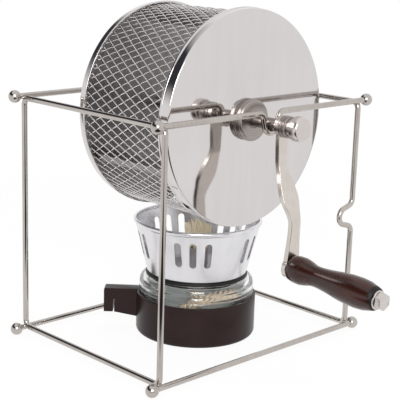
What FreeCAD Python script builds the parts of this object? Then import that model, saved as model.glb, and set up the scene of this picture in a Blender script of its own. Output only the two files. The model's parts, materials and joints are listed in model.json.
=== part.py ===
import FreeCAD, Part
import math
import os

import Sketcher

# A coffee roaster: a wire stand carries a mesh drum that a crank turns over a small spirit burner.
# X runs to the right along the crank side, Y to the back and Z up. The origin is on the floor,
# half way between the side loops and half way between the front and the back bars.
# All sizes are in millimetres and degrees.

SIZES = [
    ("wire_radius", 2.0),
    ("ball_radius", 4.4),
    ("ball_seat", 3.4),
    ("ball_span", 200.0),
    ("bar_depth", 146.0),
    ("bar_rise", 168.0),
    ("loop_spread", 185.6),
    ("loop_corner", 5.0),
    ("weld_sink", 0.2),
    ("saddle_flare", 15.0),
    ("saddle_bend", 5.0),
    ("shaft_drop", 7.6),
    ("shaft_radius", 4.0),
    ("spigot_radius", 3.0),
    ("running_gap", 0.05),
    ("soft_gap", 0.1),
    ("sheet_gauge", 1.0),
    ("drum_front", 52.8),
    ("drum_back", 37.8),
    ("mesh_radius", 71.1),
    ("mesh_gauge", 1.5),
    ("mesh_strand", 2.4),
    ("mesh_columns", 26.0),
    ("mesh_rows", 8.0),
    ("lid_gap", 0.3),
    ("lid_skirt", 8.5),
    ("cap_skirt", 6.5),
    ("bead_height", 0.6),
    ("bead_length", 1.6),
    ("edge_round", 1.4),
    ("hub_radius", 14.0),
    ("hub_length", 5.8),
    ("hub_chamfer", 1.0),
    ("stop_radius", 8.0),
    ("stop_length", 4.0),
    ("vane_height", 12.0),
    ("vane_foot", 6.0),
    ("vane_count", 3.0),
    ("arm_setback", 81.5),
    ("arm_gauge", 3.4),
    ("arm_bulge", 14.7),
    ("arm_bend_top", 25.0),
    ("arm_bend_low", 60.5),
    ("arm_bend_radius", 18.0),
    ("arm_belly_drop", 45.0),
    ("arm_eye", 7.0),
    ("arm_neck", 4.2),
    ("arm_belly", 7.0),
    ("arm_foot", 7.6),
    ("crank_radius", 92.4),
    ("grip_lean", 3.25),
    ("nut_radius", 7.3),
    ("nut_length", 6.2),
    ("knob_neck", 6.2),
    ("knob_neck_length", 3.8),
    ("knob_radius", 8.3),
    ("knob_length", 7.0),
    ("spigot_reach", 12.0),
    ("shaft_tail", 86.0),
    ("grip_length", 69.6),
    ("grip_play", 0.3),
    ("grip_bulb", 9.2),
    ("grip_waist", 6.9),
    ("grip_swell", 10.0),
    ("grip_end", 7.5),
    ("washer_radius", 6.3),
    ("washer_gauge", 1.2),
    ("bolt_flats", 10.0),
    ("bolt_head", 4.4),
    ("burner_right", 8.6),
    ("burner_rear", 1.3),
    ("base_radius", 43.5),
    ("base_height", 29.2),
    ("base_wall", 2.6),
    ("base_round", 3.0),
    ("tab_angle", 135.0),
    ("tab_reach", 67.2),
    ("tab_gauge", 10.0),
    ("tab_rise", 1.2),
    ("tab_height", 18.0),
    ("tab_root_height", 21.0),
    ("tab_slot_inset", 6.7),
    ("tab_slot_width", 0.9),
    ("tab_slot_height", 9.5),
    ("glass_wall", 3.0),
    ("glass_lip", 0.9),
    ("glass_lip_height", 7.2),
    ("glass_shoulder", 7.0),
    ("glass_neck", 34.0),
    ("collar_radius", 37.0),
    ("collar_gauge", 2.4),
    ("collar_plug", 4.0),
    ("holder_radius", 8.0),
    ("holder_wall", 1.2),
    ("holder_height", 17.0),
    ("holder_flange", 11.0),
    ("wick_tuft", 10.5),
    ("wick_top", 22.0),
    ("screen_foot", 36.2),
    ("screen_mouth", 45.5),
    ("screen_height", 37.2),
    ("screen_gauge", 0.8),
    ("screen_rim", 1.1),
    ("screen_turn", 9.2),
    ("slot_width", 4.9),
    ("slot_height", 18.8),
    ("slot_rise", 12.0),
    ("slot_step", 14.6),
    ("slot_groups", 5.0),
    ("slots_in_group", 3.0),
]

doc = FreeCAD.newDocument("DrumRoaster")
sheet = doc.addObject("Spreadsheet::Sheet", "Sizes")
for row, (alias, value) in enumerate(SIZES, 1):
    sheet.set("A%d" % row, alias)
    sheet.set("B%d" % row, str(value))
    sheet.setAlias("B%d" % row, alias)
doc.recompute()


class Length:
    """A number together with the sheet formula that gives it."""

    def __init__(self, value, formula):
        self.value = float(value)
        self.formula = formula

    def __float__(self):
        return self.value

    def __add__(self, other):
        return combine(self, "+", other)

    def __radd__(self, other):
        return combine(other, "+", self)

    def __sub__(self, other):
        return combine(self, "-", other)

    def __rsub__(self, other):
        return combine(other, "-", self)

    def __mul__(self, other):
        return combine(self, "*", other)

    def __rmul__(self, other):
        return combine(other, "*", self)

    def __truediv__(self, other):
        return combine(self, "/", other)

    def __neg__(self):
        return combine(0.0, "-", self)


def as_length(number):
    if isinstance(number, Length):
        return number
    return Length(number, "%.6f" % number)


def combine(left, sign, right):
    left = as_length(left)
    right = as_length(right)
    results = {
        "+": left.value + right.value,
        "-": left.value - right.value,
        "*": left.value * right.value,
    }
    if sign == "/":
        results[sign] = left.value / right.value
    return Length(results[sign], "(%s %s %s)" % (left.formula, sign, right.formula))


def size(alias):
    return Length(sheet.get(alias), "Sizes." + alias)


def bind(thing, attribute, length):
    """Sets a property and ties it to the sheet."""
    length = as_length(length)
    thing.setExpression(attribute, length.formula)


def place(thing, x=0.0, y=0.0, z=0.0, axis=None, angle=0.0):
    """Puts a sub-part in its place, turned about one axis, all tied to the sheet."""
    base = FreeCAD.Vector(float(as_length(x)), float(as_length(y)), float(as_length(z)))
    turn = FreeCAD.Rotation()
    if axis is not None:
        turn = FreeCAD.Rotation(axis, float(as_length(angle)))
    thing.Placement = FreeCAD.Placement(base, turn)
    for name, length in (("x", x), ("y", y), ("z", z)):
        if isinstance(length, Length):
            bind(thing, "Placement.Base." + name, length)
    if isinstance(angle, Length):
        thing.setExpression("Placement.Rotation.Angle", angle.formula + " * 1 deg")


def new_body(label):
    body = doc.addObject("PartDesign::Body", label)
    body.Label = label
    return body


def origin_plane(body, role):
    return [feature for feature in body.Origin.OriginFeatures if feature.Role == role][0]


def unit(vector):
    return vector * (1.0 / vector.Length)


def rounded_corner(before, corner, after, radius):
    """Tangent points and centre of the arc that rounds a corner."""
    back = unit(before - corner)
    ahead = unit(after - corner)
    half = back.getAngle(ahead) / 2.0
    reach = radius / math.tan(half)
    centre = corner + unit(back + ahead) * (radius / math.sin(half))
    return corner + back * reach, corner + ahead * reach, centre


def outline(body, name, role, corners):
    """A closed sketch outline. Each corner is x, y and, where it is rounded, a radius."""
    sketch = body.newObject("Sketcher::SketchObject", body.Label + "_" + name)
    sketch.AttachmentSupport = (origin_plane(body, role), [""])
    sketch.MapMode = "FlatFace"
    draw_outline(sketch, corners)
    return sketch


def draw_outline(sketch, corners):
    count = len(corners)
    points = [FreeCAD.Vector(float(as_length(c[0])), float(as_length(c[1])), 0) for c in corners]
    starts = list(points)
    ends = list(points)
    arcs = {}
    for index, corner in enumerate(corners):
        if len(corner) == 3:
            before = points[index - 1]
            after = points[(index + 1) % count]
            first, second, centre = rounded_corner(before, points[index], after, float(as_length(corner[2])))
            ends[index] = first
            starts[index] = second
            arcs[index] = (first, second, centre)
    first_line = sketch.GeometryCount
    for index in range(count):
        sketch.addGeometry(Part.LineSegment(starts[index], ends[(index + 1) % count]), False)
    for index, corner in enumerate(corners):
        line_in = first_line + (index - 1) % count
        line_out = first_line + index
        if index not in arcs:
            sketch.addConstraint(Sketcher.Constraint("Coincident", line_in, 2, line_out, 1))
            pin(sketch, line_out, corner)
            continue
        first, second, centre = arcs[index]
        turning = (points[index] - first).cross(second - points[index]).z
        begin, finish = (first, second) if turning > 0 else (second, first)
        circle = Part.Circle(centre, FreeCAD.Vector(0, 0, 1), (first - centre).Length)
        angles = [math.atan2(p.y - centre.y, p.x - centre.x) for p in (begin, finish)]
        arc = sketch.addGeometry(Part.ArcOfCircle(circle, angles[0], angles[1]), False)
        marker = sketch.addGeometry(Part.Point(points[index]), True)
        near, far = (1, 2) if turning > 0 else (2, 1)
        sketch.addConstraint(Sketcher.Constraint("Tangent", line_in, 2, arc, near))
        sketch.addConstraint(Sketcher.Constraint("Tangent", line_out, 1, arc, far))
        sketch.addConstraint(Sketcher.Constraint("PointOnObject", marker, 1, line_in))
        sketch.addConstraint(Sketcher.Constraint("PointOnObject", marker, 1, line_out))
        pin(sketch, marker, corner)
        radius = sketch.addConstraint(Sketcher.Constraint("Radius", arc, float(as_length(corner[2]))))
        bind(sketch, "Constraints[%d]" % radius, corner[2])


def pin(sketch, geometry, corner):
    """Ties the start of a line, or a point, to its place in the sketch."""
    for kind, value in (("DistanceX", corner[0]), ("DistanceY", corner[1])):
        value = as_length(value)
        constraint = sketch.addConstraint(Sketcher.Constraint(kind, -1, 1, geometry, 1, value.value))
        bind(sketch, "Constraints[%d]" % constraint, value)


def turned_part(label, role, axis, corners):
    """A turned piece: one outline spun a full turn about an axis of its sketch."""
    body = new_body(label)
    profile = outline(body, "profile", role, corners)
    turn = body.newObject("PartDesign::Revolution", label + "_turn")
    turn.Profile = profile
    turn.ReferenceAxis = (profile, [axis])
    turn.Angle = 360.0
    return body


def turned_on_shaft(label, corners):
    """A piece turned about the drum's axis. Corners are y and radius."""
    body = turned_part(label, "YZ_Plane", "H_Axis", corners)
    place(body, z=shaft_height)
    return body


def turned_on_burner(label, corners):
    """A piece turned about the burner's axis. Corners are radius and height."""
    body = turned_part(label, "XZ_Plane", "V_Axis", corners)
    place(body, x=size("burner_right"), y=size("burner_rear"))
    return body


def feature(label, shape, placement=None):
    """A piece whose shape comes from curves that no outline or primitive gives."""
    part = doc.addObject("Part::Feature", label)
    part.Label = label
    part.Shape = shape
    if placement is not None:
        part.Placement = placement
    return part


def bent_wire(points, radius, closed):
    """A round wire along straight legs joined by tangent arcs. Each point is a vector and a bend radius."""
    count = len(points)
    edges = []
    cursor = points[0][0]
    corners = range(1, count) if closed else range(1, count - 1)
    for index in corners:
        before = points[index - 1][0]
        corner, bend = points[index]
        after = points[(index + 1) % count][0]
        first, second, centre = rounded_corner(before, corner, after, bend)
        middle = centre + unit(corner - centre) * bend
        edges.append(Part.LineSegment(cursor, first).toShape())
        edges.append(Part.Arc(first, middle, second).toShape())
        cursor = second
    last = points[0][0] if closed else points[-1][0]
    edges.append(Part.LineSegment(cursor, last).toShape())
    spine = Part.Wire(edges)
    direction = points[1][0] - points[0][0]
    section = Part.Wire(Part.Circle(points[0][0], direction, radius).toShape())
    return spine.makePipeShell([section], True, False)


# Places that several pieces share

wire = size("wire_radius")
shaft = size("shaft_radius")
gap = size("running_gap")
gauge = size("sheet_gauge")
bar_low = size("ball_radius")
bar_high = size("ball_radius") + size("bar_rise")
bar_front = size("bar_depth") / 2.0
shaft_height = bar_high - size("shaft_drop")
diagonal = math.sqrt(0.5)
loop_inset = (size("loop_corner") + wire * 2.0 - size("weld_sink")) * diagonal - size("loop_corner")
loop_side = size("loop_spread") / 2.0

X_AXIS = FreeCAD.Vector(1, 0, 0)
Y_AXIS = FreeCAD.Vector(0, 1, 0)
Z_AXIS = FreeCAD.Vector(0, 0, 1)


# Wire stand: the saddle, a dip with flared sides that the shaft lies in


def saddle_corners():
    """The dip's three corners: along the wire, depth below it, bend radius."""
    flare = math.radians(float(size("saddle_flare")))
    seat = float(shaft + gap + wire)
    drop = float(size("shaft_drop"))
    bend = float(size("saddle_bend"))
    mouth = seat / math.cos(flare) + drop * math.tan(flare)
    point = drop + seat / math.sin(flare)
    return [(-mouth, 0.0, bend), (0.0, point, seat), (mouth, 0.0, bend)]


def saddle_bar(label, y):
    """A top bar: straight, with the saddle in its middle."""
    height = float(bar_high)
    end = float(bar_end)
    points = [(FreeCAD.Vector(-end, y, height), None)]
    for along, depth, bend in saddle_corners():
        points.append((FreeCAD.Vector(along, y, height - depth), bend))
    points.append((FreeCAD.Vector(end, y, height), None))
    return feature(label, bent_wire(points, float(wire), False))


def straight_bar(label, y):
    bar = doc.addObject("Part::Cylinder", label)
    bar.Label = label
    bind(bar, "Radius", wire)
    bind(bar, "Height", bar_end * 2.0)
    place(bar, x=-bar_end, y=y, z=bar_low, axis=Y_AXIS, angle=90.0)
    return bar


def side_loop(label, side, notched):
    """A closed side loop. A notch is the saddle's form, bent inward half way up both posts."""
    x = side * float(loop_side)
    corner = float(size("loop_corner"))
    half = float(bar_front - loop_inset)
    low = float(bar_low + loop_inset)
    high = float(bar_high - loop_inset)
    middle = (low + high) / 2.0
    points = [(FreeCAD.Vector(x, 0.0, low), None), (FreeCAD.Vector(x, half, low), corner)]
    if notched:
        for along, depth, bend in saddle_corners():
            points.append((FreeCAD.Vector(x - side * depth, half, middle + along), bend))
    points.append((FreeCAD.Vector(x, half, high), corner))
    points.append((FreeCAD.Vector(x, -half, high), corner))
    if notched:
        for along, depth, bend in saddle_corners():
            points.append((FreeCAD.Vector(x - side * depth, -half, middle - along), bend))
    points.append((FreeCAD.Vector(x, -half, low), corner))
    return feature(label, bent_wire(points, float(wire), True))


def end_ball(label, side, y, z):
    """A ball with a blind bore, pushed on a bar's end."""
    ball = doc.addObject("Part::Sphere", label + "_round")
    bind(ball, "Radius", size("ball_radius"))
    seam = 90.0 - 90.0 * side
    place(ball, x=size("ball_span") / 2.0 * side, y=y, z=z, axis=Z_AXIS, angle=seam)
    bore = doc.addObject("Part::Cylinder", label + "_bore")
    bind(bore, "Radius", wire + gap)
    bind(bore, "Height", size("ball_radius") * 2.0)
    start = (bar_end + size("soft_gap")) * side
    place(bore, x=start, y=y, z=z, axis=Y_AXIS, angle=-90.0 * side)
    drilled = doc.addObject("Part::Cut", label)
    drilled.Label = label
    drilled.Base = ball
    drilled.Tool = bore
    return drilled


bar_end = size("ball_span") / 2.0 - size("ball_radius") + size("ball_seat")

side_loop("left_side_loop", -1, False)
side_loop("right_side_loop", 1, True)
saddle_bar("front_top_bar", -float(bar_front))
saddle_bar("back_top_bar", float(bar_front))
straight_bar("front_bottom_bar", -bar_front)
straight_bar("back_bottom_bar", bar_front)
for depth_name, bar_y in (("front", -bar_front), ("back", bar_front)):
    for height_name, bar_z in (("top", bar_high), ("bottom", bar_low)):
        for side_name, side in (("left", -1.0), ("right", 1.0)):
            end_ball("_".join((depth_name, height_name, side_name, "ball")), side, bar_y, bar_z)


# Drum: a mesh sleeve between a lid and a cap that both have skirts, all turned on one shaft

lid_face = -size("drum_front")
lid_back = lid_face + gauge
cap_face = size("drum_back")
cap_inside = cap_face - gauge
bore = shaft + gap
hoop_inner = size("mesh_radius") + size("soft_gap")
hoop_outer = hoop_inner + gauge
lid_inner = hoop_outer + size("lid_gap")
lid_outer = lid_inner + gauge
bead = size("bead_height")
bead_length = size("bead_length")
lid_rim = lid_face + size("lid_skirt")
turned_on_shaft("front_lid", [
    (lid_face, bore),
    (lid_face, lid_outer, size("edge_round")),
    (lid_rim - bead_length, lid_outer),
    (lid_rim - bead_length, lid_outer + bead, bead * 0.6),
    (lid_rim, lid_outer + bead, bead * 0.6),
    (lid_rim, lid_inner),
    (lid_back, lid_inner),
    (lid_back, bore),
])

hoop_rim = lid_rim - bead_length
turned_on_shaft("front_hoop", [
    (lid_back + size("soft_gap"), hoop_inner),
    (lid_back + size("soft_gap"), hoop_outer),
    (hoop_rim, hoop_outer),
    (hoop_rim, hoop_inner),
])

cap_rim = cap_face - size("cap_skirt")
turned_on_shaft("back_cap", [
    (cap_face, bore),
    (cap_face, hoop_outer, size("edge_round")),
    (cap_rim + bead_length, hoop_outer),
    (cap_rim + bead_length, hoop_outer + bead, bead * 0.6),
    (cap_rim, hoop_outer + bead, bead * 0.6),
    (cap_rim, hoop_inner),
    (cap_inside, hoop_inner),
    (cap_inside, bore),
])

sleeve_front = lid_back + size("soft_gap")
sleeve_back = cap_inside - size("soft_gap")


def mesh_sleeve():
    """A woven tube drawn as a holed one: staggered diamonds with strands at 45 degrees between them."""
    outer = float(size("mesh_radius"))
    inner = outer - float(size("mesh_gauge"))
    front = float(sleeve_front)
    length = float(sleeve_back) - front
    start = FreeCAD.Vector(0, front, 0)
    sleeve = Part.makeCylinder(outer, length, start, Y_AXIS)
    sleeve = sleeve.cut(Part.makeCylinder(inner, length, start, Y_AXIS))
    columns = int(float(size("mesh_columns")))
    rows = int(float(size("mesh_rows")))
    open_front = float(lid_rim)
    open_back = float(cap_rim)
    row_pitch = (open_back - open_front) / (rows + 1)
    column_pitch = 2.0 * math.pi * outer / columns
    strand = float(size("mesh_strand")) * diagonal
    along = row_pitch - strand
    around = column_pitch / 2.0 - strand
    tools = []
    depth = float(size("mesh_gauge"))
    for row in range(rows):
        y = open_front + row_pitch * (row + 1)
        corners = [
            FreeCAD.Vector(around, y, inner - depth),
            FreeCAD.Vector(0, y + along, inner - depth),
            FreeCAD.Vector(-around, y, inner - depth),
            FreeCAD.Vector(0, y - along, inner - depth),
        ]
        diamond = Part.Face(Part.makePolygon(corners + corners[:1]))
        prism = diamond.extrude(FreeCAD.Vector(0, 0, depth * 3.0))
        for column in range(columns):
            angle = 360.0 * (column + 0.5 * (row % 2)) / columns
            turned = prism.copy()
            turned.rotate(FreeCAD.Vector(0, 0, 0), Y_AXIS, angle)
            tools.append(turned)
    return sleeve.cut(tools)


sleeve_place = FreeCAD.Placement(FreeCAD.Vector(0, 0, float(shaft_height)), FreeCAD.Rotation())
feature("mesh_sleeve", mesh_sleeve(), sleeve_place)

# Stirring vanes: folded strips whose feet lie on the sleeve's wall

vane_wall = size("mesh_radius") - size("mesh_gauge") - size("lid_gap") * 2.0
vane_tip = vane_wall - size("vane_height")
vane_start = sleeve_front + size("soft_gap")
vane_length = sleeve_back - size("soft_gap") - vane_start
vanes = int(float(size("vane_count")))
for number in range(vanes):
    vane = new_body("stirring_vane_%d" % (number + 1))
    section = outline(vane, "section", "XZ_Plane", [
        (0.0, vane_tip),
        (gauge, vane_tip),
        (gauge, vane_wall - gauge),
        (size("vane_foot"), vane_wall - gauge),
        (size("vane_foot"), vane_wall),
        (0.0, vane_wall),
    ])
    strip = vane.newObject("PartDesign::Pad", vane.Label + "_strip")
    strip.Profile = section
    bind(strip, "Length", vane_length)
    strip.Reversed = True
    place(vane, y=vane_start, z=shaft_height, axis=Y_AXIS, angle=360.0 * number / vanes)

# Shaft, lid clamp and hubs

arm_seat = -size("arm_setback")
spigot = size("spigot_radius")
spigot_bore = spigot + gap
arm_face = arm_seat - size("arm_gauge")
nut_face = arm_face - size("nut_length")
spigot_tip = arm_face - size("spigot_reach")
tail = size("shaft_tail")
shaft_edge = size("sheet_gauge") * 0.5
turned_on_shaft("drum_shaft", [
    (spigot_tip, 0.0),
    (spigot_tip, spigot - shaft_edge),
    (spigot_tip + shaft_edge, spigot),
    (arm_seat, spigot),
    (arm_seat, shaft),
    (tail - shaft_edge, shaft),
    (tail, shaft - shaft_edge),
    (tail, 0.0),
])

hub = size("hub_radius")
hub_edge = size("hub_chamfer")
hub_front = lid_face - size("hub_length")
turned_on_shaft("lid_clamp_nut", [
    (lid_face, bore),
    (lid_face, hub),
    (hub_front + hub_edge, hub),
    (hub_front, hub - hub_edge),
    (hub_front, bore),
])

hub_back = cap_face + size("hub_length")
turned_on_shaft("rear_hub", [
    (cap_face, bore),
    (cap_face, hub),
    (hub_back - hub_edge, hub),
    (hub_back, hub - hub_edge),
    (hub_back, bore),
])

turned_on_shaft("lid_stop_collar", [
    (lid_back, bore),
    (lid_back, size("stop_radius")),
    (lid_back + size("stop_length"), size("stop_radius")),
    (lid_back + size("stop_length"), bore),
])

# Crank: an arm bent outward below its eye, wider where it bends, with the grip on its foot


def band(points, thickness):
    """A strip's side view: the outer face follows rounded legs, the inner face lies a thickness behind."""
    outer = []
    inner = []
    cursor = points[0][0]
    for index in range(1, len(points)):
        corner, bend = points[index]
        side = behind(points[index - 1][0], corner)
        if bend is None:
            outer.append(Part.LineSegment(cursor, corner).toShape())
            inner.append(Part.LineSegment(cursor + side * thickness, corner + side * thickness).toShape())
            cursor = corner
            continue
        ahead = points[index + 1][0]
        first, second, centre = rounded_corner(points[index - 1][0], corner, ahead, bend)
        outer.append(Part.LineSegment(cursor, first).toShape())
        inner.append(Part.LineSegment(cursor + side * thickness, first + side * thickness).toShape())
        toward = 1.0 if (first - centre).dot(side) > 0 else -1.0
        middle = unit(corner - centre)
        far_side = behind(corner, ahead)
        outer.append(Part.Arc(first, centre + middle * bend, second).toShape())
        inner_middle = centre + middle * (bend + toward * thickness)
        inner_arc = Part.Arc(first + side * thickness, inner_middle, second + far_side * thickness)
        inner.append(inner_arc.toShape())
        cursor = second
    start_side = behind(points[0][0], points[1][0])
    head = Part.LineSegment(points[0][0] + start_side * thickness, points[0][0]).toShape()
    foot = Part.LineSegment(cursor, cursor + side * thickness).toShape()
    return Part.Face(Part.Wire(outer + [foot] + inner[::-1] + [head]))


def behind(start, end):
    """The direction square to a leg of the side view, toward its inner face."""
    leg = unit(end - start)
    return FreeCAD.Vector(0, -leg.z, leg.y)


def grip_seat():
    """Where the grip's axis meets the arm's outer face, seen from the drum's axis."""
    drop = float(size("crank_radius") - size("arm_bend_low"))
    lean = math.tan(math.radians(float(size("grip_lean"))))
    return FreeCAD.Vector(0, float(arm_face - size("arm_bulge")) + lean * drop, -float(size("crank_radius")))


def crank_arm():
    """The side view's strip, kept only where the front view's outline lies."""
    face = float(arm_face)
    thickness = float(size("arm_gauge"))
    eye = float(size("arm_eye"))
    foot = float(size("arm_foot"))
    reach = float(size("crank_radius"))
    bend = float(size("arm_bend_radius"))
    top = float(size("arm_bend_top"))
    low = float(size("arm_bend_low"))
    bulge = face - float(size("arm_bulge"))
    seat = grip_seat()
    rest = seat + (seat - FreeCAD.Vector(0, bulge, -low)) * 0.4
    points = [
        (FreeCAD.Vector(-foot, face, eye * 1.2), None),
        (FreeCAD.Vector(-foot, face, -top), bend),
        (FreeCAD.Vector(-foot, bulge, -low), bend),
        (FreeCAD.Vector(-foot, rest.y, rest.z), None),
    ]
    strip = band(points, thickness).extrude(FreeCAD.Vector(foot * 2.0, 0, 0))
    neck = float(size("arm_neck"))
    belly = float(size("arm_belly"))
    drop = float(size("arm_belly_drop"))
    stations = [
        (eye * 0.6, -eye * 0.8),
        (neck, -drop * 0.35),
        (neck + 0.3, -drop * 0.68),
        (belly - 1.0, -drop + 9.0),
        (belly, -drop + 4.0),
        (belly, -drop - 4.0),
        (belly - 1.1, -drop - 8.0),
        (neck + 0.7, -drop - 12.0),
        (neck + 0.1, -drop - 20.0),
        (neck + 0.5, -drop - 29.0),
        (foot * 0.8, -reach + foot * 0.6),
    ]
    right = [FreeCAD.Vector(half, 0, z) for half, z in stations]
    left = [FreeCAD.Vector(-half, 0, z) for half, z in reversed(stations)]
    right_side = Part.BSplineCurve()
    right_side.interpolate(right)
    left_side = Part.BSplineCurve()
    left_side.interpolate(left)
    edges = [
        right_side.toShape(),
        Part.LineSegment(right[-1], left[0]).toShape(),
        left_side.toShape(),
        Part.LineSegment(left[-1], right[0]).toShape(),
    ]
    depth = abs(bulge) * 1.2
    outward = -Y_AXIS
    origin = FreeCAD.Vector(0, 0, 0)
    front = Part.Face(Part.Wire(edges)).extrude(outward * depth)
    eye_disc = Part.makeCylinder(eye, depth, origin, outward)
    foot_disc = Part.makeCylinder(foot, depth, FreeCAD.Vector(0, 0, -reach), outward)
    arm = strip.common(front.fuse([eye_disc, foot_disc]).removeSplitter())
    hole = float(spigot_bore)
    axle_hole = Part.makeCylinder(hole, depth, origin, outward)
    lean = math.radians(float(size("grip_lean")))
    along = FreeCAD.Vector(0, -math.cos(lean), -math.sin(lean))
    bolt_hole = Part.makeCylinder(hole, thickness * 6.0, seat - along * (thickness * 3.0), along)
    return arm.cut([axle_hole, bolt_hole])


feature("crank_arm", crank_arm(), sleeve_place)

nut_edge = size("hub_chamfer")
turned_on_shaft("arm_nut", [
    (arm_face, spigot_bore),
    (arm_face, size("nut_radius")),
    (nut_face + nut_edge, size("nut_radius")),
    (nut_face, size("nut_radius") - nut_edge),
    (nut_face, spigot_bore),
])

neck_end = nut_face - size("knob_neck_length")
knob_face = neck_end - size("knob_length")
knob_floor = spigot_tip - size("soft_gap")
turned_on_shaft("cap_knob", [
    (nut_face, spigot_bore),
    (nut_face, size("knob_neck")),
    (neck_end, size("knob_neck")),
    (neck_end, size("knob_radius"), size("edge_round")),
    (knob_face, size("knob_radius"), size("edge_round")),
    (knob_face, 0.0),
    (knob_floor, 0.0),
    (knob_floor, spigot_bore),
])

# Grip: a turned wooden handle free on a bolt, drawn along minus Y from the arm's outer face

grip_point = grip_seat()
grip_base = FreeCAD.Vector(grip_point.x, grip_point.y, grip_point.z + float(shaft_height))
grip_place = FreeCAD.Placement(grip_base, FreeCAD.Rotation(X_AXIS, float(size("grip_lean"))))
grip_start = float(size("grip_play"))
grip_finish = grip_start + float(size("grip_length"))
washer_seat = grip_finish + float(size("grip_play"))


def turned_grip():
    """The handle's flowing outline, spun about the bolt and bored for it."""
    bulb = float(size("grip_bulb"))
    waist = float(size("grip_waist"))
    swell = float(size("grip_swell"))
    end = float(size("grip_end"))
    length = float(size("grip_length"))
    stations = [
        (0.0, bulb - 1.1),
        (0.13, bulb),
        (0.29, waist),
        (0.43, waist + 0.6),
        (0.59, swell - 0.9),
        (0.73, swell - 0.1),
        (0.82, swell),
        (0.93, swell - 1.1),
        (1.0, end),
    ]
    points = [FreeCAD.Vector(0, -grip_start - share * length, radius) for share, radius in stations]
    curve = Part.BSplineCurve()
    curve.interpolate(points)
    hole = float(spigot + gap)
    inner = FreeCAD.Vector(0, -grip_start, hole)
    outer = FreeCAD.Vector(0, -grip_finish, hole)
    edges = [
        curve.toShape(),
        Part.LineSegment(points[-1], outer).toShape(),
        Part.LineSegment(outer, inner).toShape(),
        Part.LineSegment(inner, points[0]).toShape(),
    ]
    face = Part.Face(Part.Wire(edges))
    return face.revolve(FreeCAD.Vector(0, 0, 0), Y_AXIS, 360.0)


def grip_bolt():
    """A hexagon head with eased corners and a shank that is screwed through the arm."""
    flats = float(size("bolt_flats"))
    height = float(size("bolt_head"))
    start = washer_seat + float(size("washer_gauge"))
    corner = flats / math.sqrt(3.0)
    corners = []
    for number in range(7):
        angle = math.radians(60.0 * number + 30.0)
        corners.append(FreeCAD.Vector(corner * math.cos(angle), -start, corner * math.sin(angle)))
    head = Part.Face(Part.makePolygon(corners)).extrude(FreeCAD.Vector(0, -height, 0))
    wide = corner + height * 1.8
    easing = Part.makeCone(wide, corner * 0.9, height, FreeCAD.Vector(0, -start, 0), -Y_AXIS)
    head = head.common(easing)
    behind_arm = float(size("arm_gauge")) + float(gauge)
    shank = Part.makeCylinder(float(spigot), start + behind_arm, FreeCAD.Vector(0, behind_arm, 0), -Y_AXIS)
    return head.fuse(shank).removeSplitter()


def grip_washer():
    seat = FreeCAD.Vector(0, -washer_seat, 0)
    disc = Part.makeCylinder(float(size("washer_radius")), float(size("washer_gauge")), seat, -Y_AXIS)
    return disc.cut(Part.makeCylinder(float(spigot_bore), float(size("washer_gauge")), seat, -Y_AXIS))


feature("wooden_grip", turned_grip(), grip_place)
feature("grip_bolt", grip_bolt(), grip_place)
feature("grip_washer", grip_washer(), grip_place)

# Burner: a cup with a tab, a glass fuel bowl, a wick and a slotted cone that screens the flame

cup = size("base_radius")
cup_inner = cup - size("base_wall")
cup_rim = size("base_height")
base = turned_on_burner("burner_base", [
    (0.0, 0.0),
    (cup, 0.0, size("base_round")),
    (cup, cup_rim),
    (cup_inner, cup_rim),
    (cup_inner, size("base_wall")),
    (0.0, size("base_wall")),
])
tab_root = cup - size("base_wall") * 0.3
tab_end = size("tab_reach")
tab_top = cup_rim + size("tab_rise")
tab_bottom = tab_top - size("tab_height")
slot_outer = tab_end - size("tab_slot_inset")
slot_inner = slot_outer - size("tab_slot_width")
slot_top = tab_bottom + size("tab_slot_height")
tab_outline = outline(base, "tab_outline", "XZ_Plane", [
    (tab_root, tab_top - size("tab_root_height")),
    (slot_inner, tab_bottom),
    (slot_inner, slot_top),
    (slot_outer, slot_top),
    (slot_outer, tab_bottom),
    (tab_end, tab_bottom),
    (tab_end, tab_top, size("edge_round")),
    (tab_root, tab_top),
])
tab = base.newObject("PartDesign::Pad", "burner_base_tab")
tab.Profile = tab_outline
tab.Midplane = True
bind(tab, "Length", size("tab_gauge"))
place(base, x=size("burner_right"), y=size("burner_rear"), axis=Z_AXIS, angle=size("tab_angle"))

glass_outer = cup_inner - size("soft_gap") * 4.0
glass_inner = glass_outer - size("glass_wall")
glass_foot = size("base_wall") + size("soft_gap")
glass_rim = cup_rim + size("running_gap")
lip = cup_inner + size("glass_lip")
glass_top = glass_rim + size("glass_lip_height") + size("glass_shoulder")
neck_inner = size("glass_neck") - size("glass_wall")
turned_on_burner("fuel_glass", [
    (0.0, glass_foot),
    (glass_outer, glass_foot, size("base_round")),
    (glass_outer, glass_rim),
    (lip, glass_rim),
    (lip, glass_top, size("glass_shoulder")),
    (neck_inner, glass_top),
    (neck_inner, glass_top - size("glass_wall")),
    (glass_inner, glass_top - size("glass_wall"), size("glass_shoulder") - size("glass_wall")),
    (glass_inner, glass_foot + size("glass_wall"), size("glass_wall")),
    (0.0, glass_foot + size("glass_wall")),
])

collar_top = glass_top + size("collar_gauge")
plug = neck_inner - size("soft_gap")
holder = size("holder_radius")
turned_on_burner("burner_collar", [
    (holder + size("soft_gap"), glass_top),
    (plug - size("glass_wall"), glass_top),
    (plug - size("glass_wall"), glass_top - size("collar_plug")),
    (plug, glass_top - size("collar_plug")),
    (plug, glass_top),
    (size("collar_radius"), glass_top),
    (size("collar_radius"), collar_top),
    (holder + size("soft_gap"), collar_top),
])

holder_inner = holder - size("holder_wall")
holder_top = collar_top + size("holder_height")
flange_top = collar_top + size("holder_wall")
turned_on_burner("wick_holder", [
    (holder_inner, glass_top - size("collar_plug")),
    (holder, glass_top - size("collar_plug")),
    (holder, collar_top),
    (size("holder_flange"), collar_top),
    (size("holder_flange"), flange_top),
    (holder, flange_top),
    (holder, holder_top),
    (holder_inner, holder_top),
])

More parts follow.
